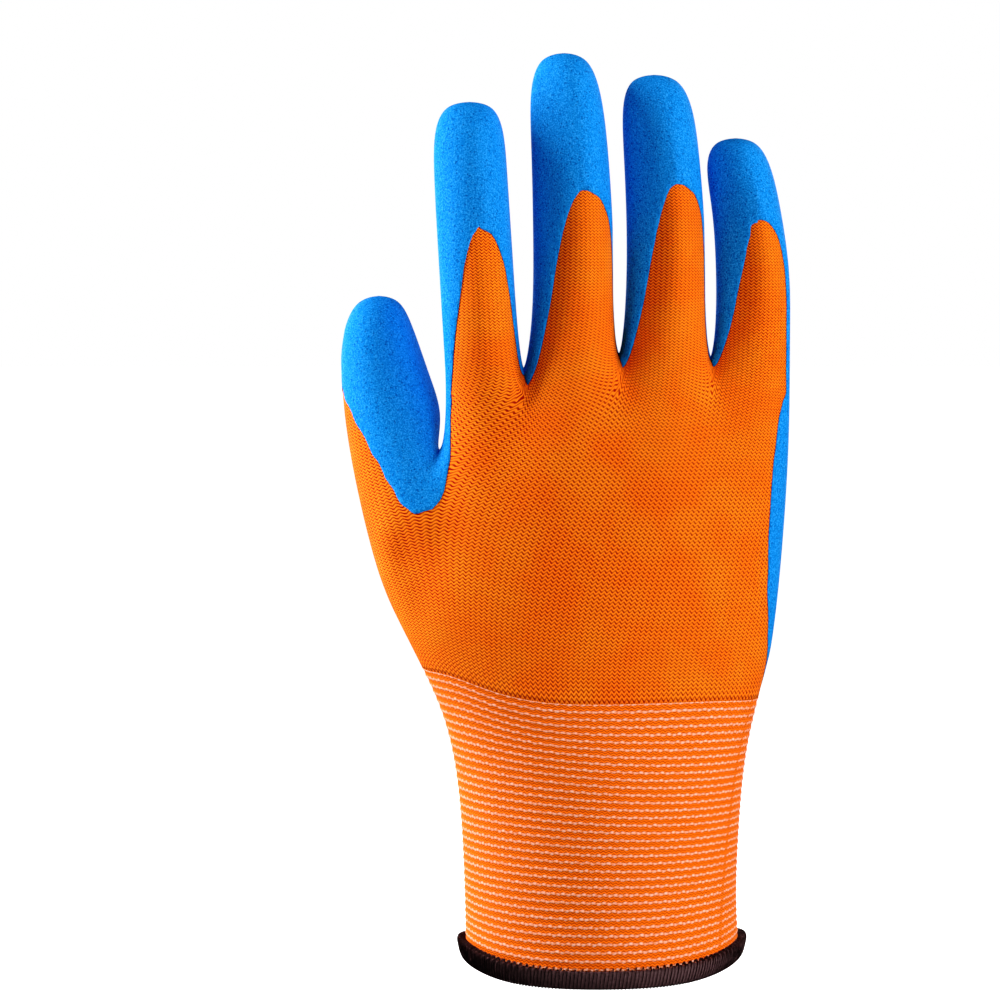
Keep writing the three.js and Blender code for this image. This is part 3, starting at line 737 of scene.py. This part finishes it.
def thicken(piece, thickness, offset):
    """Gives a skin its wall. The offset is 1 for a wall all outside the skin and -1 for one all inside."""
    wall = piece.modifiers.new("wall", "SOLIDIFY")
    wall.thickness = thickness * MILLIMETRE
    wall.offset = offset
    return wall


def add_liner(form):
    """The knit of the hand and its five stalls, all in one, up from the cuff"""
    bm = form.copy()
    cuff = [face for face in bm.faces if face.material_index == PARTS.index("cuff")]
    bmesh.ops.delete(bm, geom=cuff, context="FACES")
    nodes = ["knit_body", *[f"{part}_stall" for part in STALLS]]
    piece = add_piece("knitted_liner", bm, knitted_polyester(), nodes)
    thicken(piece, LINER_WALL, -1)


def read_table(table, at, column):
    """A table's column at a place between its rows, by straight lines"""
    if at <= table[0][0]:
        return table[0][column]
    for a, b in zip(table, table[1:]):
        if at <= b[0]:
            return a[column] + (b[column] - a[column]) * (at - a[0]) / (b[0] - a[0])
    return table[-1][column]


def dip_depth(part, u, v):
    """Over zero where the knit is dipped, under zero where it is bare, at a place of the cage"""
    if part in ("cuff", "palm"):
        around = u + SLEEVE_COLUMNS if u < SLEEVE_COLUMNS / 4 else u
        from_edge = around - read_table(DIP_ON_SLEEVE, v, 1)
        to_edge = read_table(DIP_ON_SLEEVE, v, 2) - around
        return min(v - DIP_ON_SLEEVE[0][0], from_edge, to_edge)
    crown, centre, left, left_shape, right, right_shape = BARE_ARCHES[part]
    turn = (u - centre + STALL_COLUMNS * 1.5) % STALL_COLUMNS - STALL_COLUMNS / 2
    spread, shape = (left, left_shape) if turn < 0 else (right, right_shape)
    return (turn / spread) ** 2 + (v / crown) ** shape - 1


def dip_depths(bm):
    """The dip's depth at every corner of the skin, with the small waves of its edge"""
    place = bm.loops.layers.uv["cage"]
    depths = {}
    for face in bm.faces:
        part = PARTS[face.material_index]
        for loop in face.loops:
            u, v = loop[place].uv
            depth = dip_depth(part, u, v) + EDGE_STEP * math.sin(EDGE_WAVES[0] * u + EDGE_WAVES[1] * v)
            depths[loop.vert] = min(depths.get(loop.vert, depth), depth)
    return {vert: math.copysign(max(abs(depth), EDGE_CLEARANCE), depth) for vert, depth in depths.items()}


def cut_to_dip(bm, depths):
    """Cuts the skin along the dip's edge, and takes the bare part away"""
    edge_points = set()
    for edge in list(bm.edges):
        a, b = edge.verts
        if (depths[a] > 0) != (depths[b] > 0):
            _, made = bmesh.utils.edge_split(edge, a, depths[a] / (depths[a] - depths[b]))
            edge_points.add(made)
    for face in list(bm.faces):
        ends = [vert for vert in face.verts if vert in edge_points]
        if len(ends) == 2:
            bmesh.utils.face_split(face, *ends)
    bare = [face for face in bm.faces if any(depths.get(vert, 0) < 0 for vert in face.verts)]
    bmesh.ops.delete(bm, geom=bare, context="FACES")


def add_foam(form):
    """The dip: a skin of foam on the palm, the stalls' tips and their sides, thinner at its edge, whose rim
    is painted dark as soaked yarn and shade
    """
    bm = form.copy()
    depths = dip_depths(bm)
    cut_to_dip(bm, depths)
    bm.verts.index_update()
    shares = {vert.index: min(depths.get(vert, 0) / FOAM_TAPER, 1) for vert in bm.verts}
    piece = add_piece("foam_dip", bm, foamed_latex(), ["palm_coating"])
    skin = piece.vertex_groups.new(name="skin")
    for index, share in shares.items():
        skin.add([index], EDGE_THICKNESS + (1 - EDGE_THICKNESS) * share, "REPLACE")
    piece.data.materials.append(soaked_rim_and_painted_shade())
    whole = FOAM_PROUD + FOAM_SUNK
    wall = thicken(piece, whole, (FOAM_PROUD - FOAM_SUNK) / whole)
    wall.vertex_group = "skin"
    # The rim takes the dark colour: soaked yarn and painted shade along the dip's edge
    wall.material_offset_rim = 1


# The cuff's cage is a plain grid, so a cubic spline on it gives the same smooth form at any place


def spline_weights(t):
    """How much each of four corners in a row counts at t from the second to the third, and its slope"""
    s = 1 - t
    return (
        (s**3 / 6, -(s**2) / 2),
        ((3 * t**3 - 6 * t**2 + 4) / 6, (9 * t**2 - 12 * t) / 6),
        ((3 * s**3 - 6 * s**2 + 4) / 6, -(9 * s**2 - 12 * s) / 6),
        (t**3 / 6, t**2 / 2),
    )


def cuff_row(row):
    """A row of the cuff's cage. The one below the cut edge goes straight on."""
    if row < 0:
        return [low * 2 - high for low, high in zip(cuff_row(0), cuff_row(1))]
    return [sleeve_point(SLEEVE[row], column) for column in range(SLEEVE_COLUMNS)]


CUFF_CAGE = {row: cuff_row(row) for row in range(-1, FIRST_COURSE + 2)}


def cuff_surface(u, v):
    """A point on the cuff's skin and the direction out of it"""
    row = min(int(v), FIRST_COURSE - 1)
    column = int(u)
    point, along_u, along_v = Vector(), Vector(), Vector()
    for j, (weight_v, slope_v) in enumerate(spline_weights(v - row)):
        for i, (weight_u, slope_u) in enumerate(spline_weights(u - column)):
            corner = CUFF_CAGE[row - 1 + j][(column - 1 + i) % SLEEVE_COLUMNS]
            point += corner * (weight_u * weight_v)
            along_u += corner * (slope_u * weight_v)
            along_v += corner * (weight_u * slope_v)
    return point, along_u.cross(along_v).normalized()


# Steps in which the cuff's height is measured
FINE_STEPS = 400


def rows_by_height(step):
    """Cage rows v at which the cuff's mean height rises by equal steps, from the cut edge to the top"""
    fine = [FIRST_COURSE * i / FINE_STEPS for i in range(FINE_STEPS + 1)]
    quarters = [SLEEVE_COLUMNS * quarter / 4 for quarter in range(4)]
    heights = [sum(cuff_surface(u, v)[0].z for u in quarters) / 4 for v in fine]
    count = round((heights[-1] - heights[0]) / step)
    rows, at = [], 0
    for i in range(count + 1):
        target = heights[0] + (heights[-1] - heights[0]) * i / count
        while at < FINE_STEPS - 1 and heights[at + 1] < target:
            at += 1
        share = (target - heights[at]) / (heights[at + 1] - heights[at])
        rows.append(fine[at] + (fine[at + 1] - fine[at]) * min(max(share, 0), 1))
    return rows


CUFF_COLUMNS = 200
ROWS_PER_RIB = 4
# Sleeve columns that the wales lean round the wrist on the way up the cuff
TWIST = 0.85


def cuff_wale(u, v):
    """Wale at a place on the cuff"""
    return (u + TWIST * (1 - v / FIRST_COURSE)) * WALES_ROUND / SLEEVE_COLUMNS


def cuff_ring(v, rib):
    """The points of the cuff's knitted ring at one height. It stands proud on each rib of covered rubber."""
    crest = 0.5 + 0.5 * math.cos(2 * math.pi * rib)
    points = []
    for k in range(CUFF_COLUMNS):
        point, out = cuff_surface(k * SLEEVE_COLUMNS / CUFF_COLUMNS, v)
        points.append(point + out * (RIB_FOOT + (RIB_CREST - RIB_FOOT) * crest))
    return points


def add_cuff():
    """The cuff, ring upon ring from its cut edge, with the wale and the rib of each corner for its pattern"""
    rows = rows_by_height(RIB / ROWS_PER_RIB)
    bm = bmesh.new()
    stitch = bm.loops.layers.uv.new("stitch")
    bmesh.ops.create_circle(bm, segments=CUFF_COLUMNS, radius=1)
    bm.verts.ensure_lookup_table()
    ring, rim = list(bm.verts), list(bm.edges)
    places = {}
    for row, v in enumerate(rows):
        if row > 0:
            ring, rim, _ = pull_out(bm, ring, rim)
        rib = (row + 1 - len(rows)) / ROWS_PER_RIB
        for k, (vert, point) in enumerate(zip(ring, cuff_ring(v, rib))):
            vert.co = point
            places[vert] = (k, v, rib)
    for face in bm.faces:
        columns = [places[loop.vert][0] for loop in face.loops]
        wraps = max(columns) - min(columns) > 1
        for loop in face.loops:
            k, v, rib = places[loop.vert]
            if wraps and k == 0:
                k = CUFF_COLUMNS
            loop[stitch].uv = (cuff_wale(k * SLEEVE_COLUMNS / CUFF_COLUMNS, v), rib)
    bm.normal_update()
    inward = [face for face in bm.faces if face.normal.dot(Vector((*face.calc_center_median().xy, 0))) < 0]
    bmesh.ops.reverse_faces(bm, faces=inward)
    piece = add_piece("elastic_cuff", bm, elastic_knit(), ["knit_cuff"])
    thicken(piece, CUFF_WALL, -1)


# The hem, in mm: its section, how far it reaches over the cuff's cut edge, how far its middle lies outside
# the middle of the cuff's wall, and how much it leans out for each mm up
HEM_HEIGHT = 6.0
HEM_THICKNESS = 3.2
HEM_OVER_EDGE = 0.9
HEM_OUTSET = 1.1
HEM_LEAN = 0.25
HEM_STITCHES = 236
# Its threads: the radius of one, how far the core lies inside the section, how much higher every other stitch
# reaches up the cuff, above which share of the section, and how much a stitch slants for each mm up
THREAD_RADIUS = 0.46
CORE_INSET = 0.45
LONG_STITCH = 0.75
LONG_ABOVE = 0.3
STITCH_SLANT = 0.12
# The radius that a stitch is drawn with before it is bent to the hem's section
LOOP_RADIUS = 2.5
# Sides of the core, and of a stitch as it goes round
CORE_SIDES = 10
LOOP_SIDES = 12
# Powers under 1 bring a round section nearer to an oblong
CORE_ROUNDNESS = 0.7
LOOP_ROUNDNESS = 0.75


def hem_station(share):
    """Middle of the hem's section at a share of the way round, and the direction out of the wrist there"""
    point, out = cuff_surface(share * SLEEVE_COLUMNS % SLEEVE_COLUMNS, 0)
    out.z = 0
    out.normalize()
    middle = point + out * (HEM_OUTSET - CUFF_WALL / 2)
    middle.z += HEM_OVER_EDGE - HEM_HEIGHT / 2
    return middle, out


def hem_section(c, s, roundness, proud=0.0):
    """How far out and up from the hem's middle its core lies, at an angle with this cosine and sine, or a
    point that stands proud of it"""
    wide = math.copysign(abs(c) ** roundness, c) * (HEM_THICKNESS / 2 - CORE_INSET + proud)
    tall = math.copysign(abs(s) ** roundness, s) * (HEM_HEIGHT / 2 - CORE_INSET + proud)
    return wide, tall


def hem_core():
    """The closed band that fills the hem under its threads, one section for every other stitch"""
    bm = bmesh.new()
    bmesh.ops.create_circle(bm, segments=CORE_SIDES, radius=1)
    bm.verts.ensure_lookup_table()
    first = ring = list(bm.verts)
    rim = list(bm.edges)
    stations = HEM_STITCHES // 2
    for station in range(stations):
        if station > 0:
            ring, rim, _ = pull_out(bm, ring, rim)
        middle, out = hem_station(station / stations)
        for k, vert in enumerate(ring):
            angle = 2 * math.pi * k / len(ring)
            wide, tall = hem_section(math.cos(angle), math.sin(angle), CORE_ROUNDNESS)
            vert.co = middle + out * (wide + HEM_LEAN * tall) + Vector((0, 0, tall))
    start = [e for e in bm.edges if e.verts[0] in first and e.verts[1] in first]
    bmesh.ops.bridge_loops(bm, edges=rim + start)
    bmesh.ops.recalc_face_normals(bm, faces=bm.faces)
    return bm


def stitch_loop():
    """One stitch: a thread of four sides bent to a closed loop round the Y axis"""
    bm = bmesh.new()
    bmesh.ops.create_circle(bm, segments=4, radius=THREAD_RADIUS)
    for angle, axis in ((math.pi / 4, "Z"), (math.pi / 2, "X")):
        bmesh.ops.rotate(bm, verts=bm.verts, cent=(0, 0, 0), matrix=Matrix.Rotation(angle, 3, axis))
    bmesh.ops.translate(bm, verts=bm.verts, vec=(LOOP_RADIUS, 0, 0))
    bmesh.ops.spin(
        bm,
        geom=list(bm.edges),
        cent=(0, 0, 0),
        axis=(0, 1, 0),
        angle=2 * math.pi,
        steps=LOOP_SIDES,
        use_merge=True,
    )
    bmesh.ops.remove_doubles(bm, verts=bm.verts, dist=0.001)
    bmesh.ops.recalc_face_normals(bm, faces=bm.faces)
    mesh = bpy.data.meshes.new("stitch_loop")
    bm.to_mesh(mesh)
    bm.free()
    return mesh


def add_hem():
    """A wound band: a core under the threads, and over it one loop of thread per stitch"""
    bm = hem_core()
    stitch = stitch_loop()
    for k in range(HEM_STITCHES):
        middle, out = hem_station(k / HEM_STITCHES)
        along = Vector((-out.y, out.x, 0))
        before = len(bm.verts)
        bm.from_mesh(stitch)
        bm.verts.ensure_lookup_table()
        for vert in bm.verts[before:]:
            x, y, z = vert.co
            radius = math.hypot(x, z)
            wide, tall = hem_section(x / radius, z / radius, LOOP_ROUNDNESS, radius - LOOP_RADIUS)
            if k % 2 and z > LONG_ABOVE * radius:
                tall += LONG_STITCH
            aside = y + STITCH_SLANT * tall
            vert.co = middle + out * (wide + HEM_LEAN * tall) + along * aside + Vector((0, 0, tall))
    bpy.data.meshes.remove(stitch)
    add_piece("overlock_hem", bm, overlock_thread(), ["cuff_hem"])


# Studio, in metres and watts

FLOOR_REACH = 8
FLOOR_DROP = 0.15
# How much the white room lights the glove, and how bright the camera sees it
ROOM_LIGHT = 0.05
ROOM_SEEN = 1.0
# Lights that look at the middle of the glove: place, width, height and power
STUDIO_MIDDLE = (-0.01, 0, 0.13)
LIGHTS = {
    "left_strip": ((-0.79, 0.1, 0.2), 0.2, 1.2, 22),
    "right_strip": ((0.71, -0.38, 0.2), 0.3, 1.2, 6.3),
    "front_fill": ((0.34, -0.83, 0.45), 0.5, 0.5, 7.1),
    "rear_left_strip": ((-0.6, 0.9, 0.4), 0.4, 1.0, 6),
    "rear_right_strip": ((0.6, 0.9, 0.4), 0.4, 1.0, 6),
}


def add_stage():
    """A plain pale sheet well under the glove, which shades nothing on it"""
    bm = bmesh.new()
    bmesh.ops.create_grid(bm, x_segments=1, y_segments=1, size=FLOOR_REACH)
    bmesh.ops.translate(bm, verts=bm.verts, vec=(0, 0, -FLOOR_DROP))
    floor = object_from("studio_floor", bm)
    floor.data.materials.append(studio_paper())
    floor.visible_diffuse = floor.visible_glossy = False


def add_light(name, place, width, height, power):
    """A plain white area light that looks at the middle of the glove"""
    data = bpy.data.lights.new(name, "AREA")
    data.shape = "RECTANGLE"
    data.size = width
    data.size_y = height
    data.energy = power
    lamp = bpy.data.objects.new(name, data)
    bpy.context.scene.collection.objects.link(lamp)
    lamp.location = place
    lamp.rotation_euler = (Vector(STUDIO_MIDDLE) - Vector(place)).to_track_quat("-Z", "Y").to_euler()


def add_studio():
    """A white room that lights little by itself, strips at both sides and behind, and a weak fill in front"""
    add_stage()
    world = bpy.data.worlds.new("studio")
    bpy.context.scene.world = world
    world.use_nodes = True
    seen = add_node(world, "LightPath", output="Is Camera Ray")
    brightness = add_node(world, "MapRange", {"Value": seen, "To Min": ROOM_LIGHT, "To Max": ROOM_SEEN})
    background = world.node_tree.nodes["Background"]
    set_inputs(world, background, {"Color": (1, 1, 1, 1), "Strength": brightness})
    for name, light in LIGHTS.items():
        add_light(name, *light)


# The camera: what it aims at in mm, its distance and the width of its picture there in metres, its tilt in
# degrees and its sensor in mm
CAMERA_AIM = (-27.336, 0, 127.284)
CAMERA_DISTANCE = 0.9
PICTURE_WIDTH = 0.268
CAMERA_TILT = 4.5
SENSOR_WIDTH = 36


def add_camera():
    """Straight at the back of the hand, and a little down"""
    aim = Vector(CAMERA_AIM) * MILLIMETRE
    tilt = math.radians(CAMERA_TILT)
    data = bpy.data.cameras.new("camera")
    data.sensor_width = SENSOR_WIDTH
    data.lens = SENSOR_WIDTH * CAMERA_DISTANCE / PICTURE_WIDTH
    data.clip_start = 0.01
    camera = bpy.data.objects.new("camera", data)
    bpy.context.scene.collection.objects.link(camera)
    camera.location = aim + Vector((0, -CAMERA_DISTANCE * math.cos(tilt), CAMERA_DISTANCE * math.sin(tilt)))
    camera.rotation_euler = (aim - camera.location).to_track_quat("-Z", "Y").to_euler()
    bpy.context.scene.camera = camera


# The camera's tone curve, from light to brightness: shadows are deepened, which also makes their hues fuller
TONE_CURVE = [
    (0.02, 0.006),
    (0.045, 0.021),
    (0.09, 0.066),
    (0.16, 0.145),
    (0.26, 0.255),
    (0.5, 0.51),
    (0.75, 0.77),
]
COMBINED = 3


def set_tones():
    """Puts the tone curve on all three colours of the view at once"""
    view = bpy.context.scene.view_settings
    view.view_transform = "Standard"
    view.use_curve_mapping = True
    for light, brightness in TONE_CURVE:
        view.curve_mapping.curves[COMBINED].points.new(light, brightness)
    view.curve_mapping.update()


add_camera()
form = smooth_form()
add_liner(form)
add_foam(form)
form.free()
add_cuff()
add_hem()
add_studio()
set_tones()
